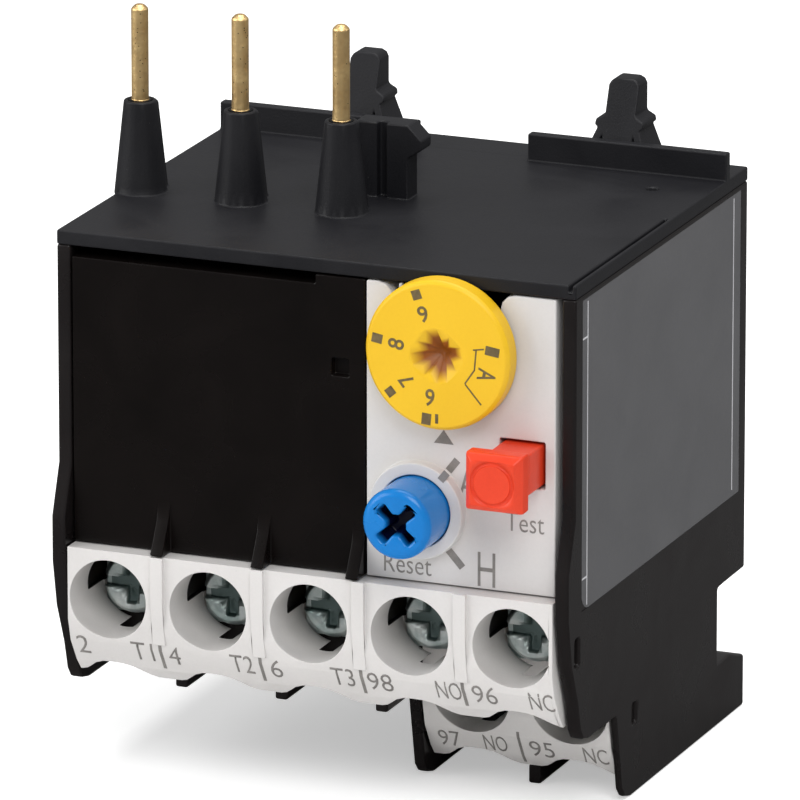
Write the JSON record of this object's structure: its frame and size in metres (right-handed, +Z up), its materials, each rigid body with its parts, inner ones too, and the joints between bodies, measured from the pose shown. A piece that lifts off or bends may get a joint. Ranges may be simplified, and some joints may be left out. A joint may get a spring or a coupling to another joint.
{
  "type": "thermal overload relay",
  "caption": "Plug-in thermal overload relay with contact pins on top, screw terminals below, and a setting dial, reset knob and test button on the front.",
  "frame": {"origin": "centre of the flat part of the back face, on the middle plane of the case", "axes": "+X to the right seen from the front, +Y from the front to the back, +Z up along the contact pins"},
  "size_m": [0.0456, 0.045, 0.0621],
  "materials": {
    "case": "satin",
    "cover": "satin",
    "front_cover": "gloss",
    "panel": "satin",
    "strip": "satin",
    "inner_plastic": "matte",
    "pin_brass": "satin",
    "zinc_steel": "zinc plated",
    "contact_brass": "satin",
    "bimetal": "satin",
    "heater_wire": "oxidised",
    "spring_steel": "satin",
    "dial": "satin",
    "reset_blue": "satin",
    "test_red": "satin"
  },
  "bodies": {
    "adjuster": {"adjusting_lever": "inner_plastic", "compensation_bimetal": "bimetal"},
    "housing": {"base_housing": "case", "clamp_plate_2t1": "contact_brass", "clamp_plate_4t2": "contact_brass", "clamp_plate_6t3": "contact_brass", "clamp_plate_95": "contact_brass", "clamp_plate_96": "contact_brass", "clamp_plate_97": "contact_brass", "clamp_plate_98": "contact_brass", "contact_pin_1": "pin_brass", "contact_pin_2": "pin_brass", "contact_pin_3": "pin_brass", "control_panel": "panel", "front_cover": "front_cover", "front_terminal_strip": "strip", "heater_coil_1": "heater_wire", "heater_coil_2": "heater_wire", "heater_coil_3": "heater_wire", "mechanism_frame": "inner_plastic", "nc_fixed_contact": "contact_brass", "no_fixed_contact": "contact_brass", "pivot_pin": "zinc_steel", "rear_terminal_strip": "strip", "reset_spring": "spring_steel", "test_spring": "spring_steel", "top_cover": "cover"},
    "bimetal_strip_1": {"bimetal_strip_1": "bimetal"},
    "bimetal_strip_2": {"bimetal_strip_2": "bimetal"},
    "bimetal_strip_3": {"bimetal_strip_3": "bimetal"},
    "carrier": {"contact_carrier": "inner_plastic", "nc_moving_contact": "contact_brass", "no_moving_contact": "contact_brass"},
    "differential_slide": {"differential_slide": "inner_plastic"},
    "reset_button": {"reset_button": "reset_blue"},
    "reset_sleeve": {"reset_sleeve": "panel"},
    "saddle_washer_2t1": {"saddle_washer_2t1": "zinc_steel"},
    "saddle_washer_4t2": {"saddle_washer_4t2": "zinc_steel"},
    "saddle_washer_6t3": {"saddle_washer_6t3": "zinc_steel"},
    "saddle_washer_95": {"saddle_washer_95": "zinc_steel"},
    "saddle_washer_96": {"saddle_washer_96": "zinc_steel"},
    "saddle_washer_97": {"saddle_washer_97": "zinc_steel"},
    "saddle_washer_98": {"saddle_washer_98": "zinc_steel"},
    "dial": {"setting_cam": "inner_plastic", "setting_dial": "dial"},
    "terminal_screw_2t1": {"terminal_screw_2t1": "zinc_steel"},
    "terminal_screw_4t2": {"terminal_screw_4t2": "zinc_steel"},
    "terminal_screw_6t3": {"terminal_screw_6t3": "zinc_steel"},
    "terminal_screw_95": {"terminal_screw_95": "zinc_steel"},
    "terminal_screw_96": {"terminal_screw_96": "zinc_steel"},
    "terminal_screw_97": {"terminal_screw_97": "zinc_steel"},
    "terminal_screw_98": {"terminal_screw_98": "zinc_steel"},
    "test_button": {"test_button": "test_red"},
    "trip_lever": {"trip_lever": "inner_plastic"},
    "trip_slide": {"trip_slide": "inner_plastic"}
  },
  "joints": [
    {"name": "saddle_2t1", "type": "slide", "parent": "housing", "child": "saddle_washer_2t1", "axis": [0, 1, 0], "range_m": [0, 0.0018]},
    {"name": "screw_2t1", "type": "hinge", "parent": "saddle_washer_2t1", "child": "terminal_screw_2t1", "pos_m": [-0.0176, -0.0358, -0.0131], "axis": [0, 1, 0], "range_deg": [0, 1080]},
    {"name": "saddle_4t2", "type": "slide", "parent": "housing", "child": "saddle_washer_4t2", "axis": [0, 1, 0], "range_m": [0, 0.0018]},
    {"name": "screw_4t2", "type": "hinge", "parent": "saddle_washer_4t2", "child": "terminal_screw_4t2", "pos_m": [-0.0088, -0.0358, -0.0131], "axis": [0, 1, 0], "range_deg": [0, 1080]},
    {"name": "saddle_6t3", "type": "slide", "parent": "housing", "child": "saddle_washer_6t3", "axis": [0, 1, 0], "range_m": [0, 0.0018]},
    {"name": "screw_6t3", "type": "hinge", "parent": "saddle_washer_6t3", "child": "terminal_screw_6t3", "pos_m": [0, -0.0358, -0.0131], "axis": [0, 1, 0], "range_deg": [0, 1080]},
    {"name": "saddle_98", "type": "slide", "parent": "housing", "child": "saddle_washer_98", "axis": [0, 1, 0], "range_m": [0, 0.0018]},
    {"name": "screw_98", "type": "hinge", "parent": "saddle_washer_98", "child": "terminal_screw_98", "pos_m": [0.0088, -0.0358, -0.0131], "axis": [0, 1, 0], "range_deg": [0, 1080]},
    {"name": "saddle_96", "type": "slide", "parent": "housing", "child": "saddle_washer_96", "axis": [0, 1, 0], "range_m": [0, 0.0018]},
    {"name": "screw_96", "type": "hinge", "parent": "saddle_washer_96", "child": "terminal_screw_96", "pos_m": [0.0176, -0.0358, -0.0131], "axis": [0, 1, 0], "range_deg": [0, 1080]},
    {"name": "saddle_97", "type": "slide", "parent": "housing", "child": "saddle_washer_97", "axis": [0, 1, 0], "range_m": [0, 0.0018]},
    {"name": "screw_97", "type": "hinge", "parent": "saddle_washer_97", "child": "terminal_screw_97", "pos_m": [0.00975, -0.0247, -0.02115], "axis": [0, 1, 0], "range_deg": [0, 1080]},
    {"name": "saddle_95", "type": "slide", "parent": "housing", "child": "saddle_washer_95", "axis": [0, 1, 0], "range_m": [0, 0.0018]},
    {"name": "screw_95", "type": "hinge", "parent": "saddle_washer_95", "child": "terminal_screw_95", "pos_m": [0.01835, -0.0247, -0.02115], "axis": [0, 1, 0], "range_deg": [0, 1080]},
    {"name": "dial_turn", "type": "hinge", "parent": "housing", "child": "dial", "pos_m": [0.0114, -0.0413, 0.01085], "axis": [0, -1, 0], "range_deg": [0, 160]},
    {"name": "adjuster_tilt", "type": "hinge", "parent": "housing", "child": "adjuster", "pos_m": [0.013, -0.0172, -0.00625], "axis": [0, 1, 0], "range_deg": [0, 4.2]},
    {"name": "reset_turn", "type": "hinge", "parent": "housing", "child": "reset_sleeve", "pos_m": [0.0091, -0.03, -0.00265], "axis": [0, -1, 0], "range_deg": [0, 90]},
    {"name": "reset_press", "type": "slide", "parent": "reset_sleeve", "child": "reset_button", "axis": [0, 1, 0], "range_m": [0, 0.003], "stiffness_N_per_m": 300, "deforming": ["reset_spring"]},
    {"name": "test_press", "type": "slide", "parent": "housing", "child": "test_button", "axis": [0, 1, 0], "range_m": [0, 0.0025], "stiffness_N_per_m": 300, "deforming": ["test_spring"]},
    {"name": "bimetal_bend_1", "type": "hinge", "parent": "housing", "child": "bimetal_strip_1", "pos_m": [-0.0176, -0.017, 0.01175], "axis": [0, -1, 0], "range_deg": [0, 3.44]},
    {"name": "bimetal_bend_2", "type": "hinge", "parent": "housing", "child": "bimetal_strip_2", "pos_m": [-0.0088, -0.017, 0.01175], "axis": [0, -1, 0], "range_deg": [0, 3.46]},
    {"name": "bimetal_bend_3", "type": "hinge", "parent": "housing", "child": "bimetal_strip_3", "pos_m": [0, -0.017, 0.01175], "axis": [0, -1, 0], "range_deg": [0, 3.46]},
    {"name": "trip_slide_travel", "type": "slide", "parent": "housing", "child": "trip_slide", "axis": [1, 0, 0], "range_m": [0, 0.00152]},
    {"name": "differential_slide_travel", "type": "slide", "parent": "housing", "child": "differential_slide", "axis": [1, 0, 0], "range_m": [0, 0.00152]},
    {"name": "trip_lever_swing", "type": "hinge", "parent": "housing", "child": "trip_lever", "pos_m": [0.013, -0.0134, -0.00625], "axis": [0, -1, 0], "range_deg": [0, 12.5]},
    {"name": "carrier_travel", "type": "slide", "parent": "housing", "child": "carrier", "axis": [-1, 0, 0], "range_m": [0, 0.00152]}
  ],
  "couplings": [
    {"joint": "screw_2t1", "follows": "saddle_2t1", "rad_per_m": 10472},
    {"joint": "screw_4t2", "follows": "saddle_4t2", "rad_per_m": 10472},
    {"joint": "screw_6t3", "follows": "saddle_6t3", "rad_per_m": 10472},
    {"joint": "screw_98", "follows": "saddle_98", "rad_per_m": 10472},
    {"joint": "screw_96", "follows": "saddle_96", "rad_per_m": 10472},
    {"joint": "screw_97", "follows": "saddle_97", "rad_per_m": 10472},
    {"joint": "screw_95", "follows": "saddle_95", "rad_per_m": 10472},
    {"joint": "adjuster_tilt", "follows": "dial_turn", "ratio": 0.026},
    {"joint": "bimetal_bend_2", "follows": "bimetal_bend_1", "ratio": 1},
    {"joint": "bimetal_bend_3", "follows": "bimetal_bend_1", "ratio": 1},
    {"joint": "trip_slide_travel", "follows": "bimetal_bend_1", "m_per_rad": 0.025},
    {"joint": "differential_slide_travel", "follows": "bimetal_bend_1", "m_per_rad": 0.025},
    {"joint": "trip_lever_swing", "follows": "bimetal_bend_1", "ratio": 3.5714},
    {"joint": "carrier_travel", "follows": "bimetal_bend_1", "m_per_rad": 0.025}
  ]
}
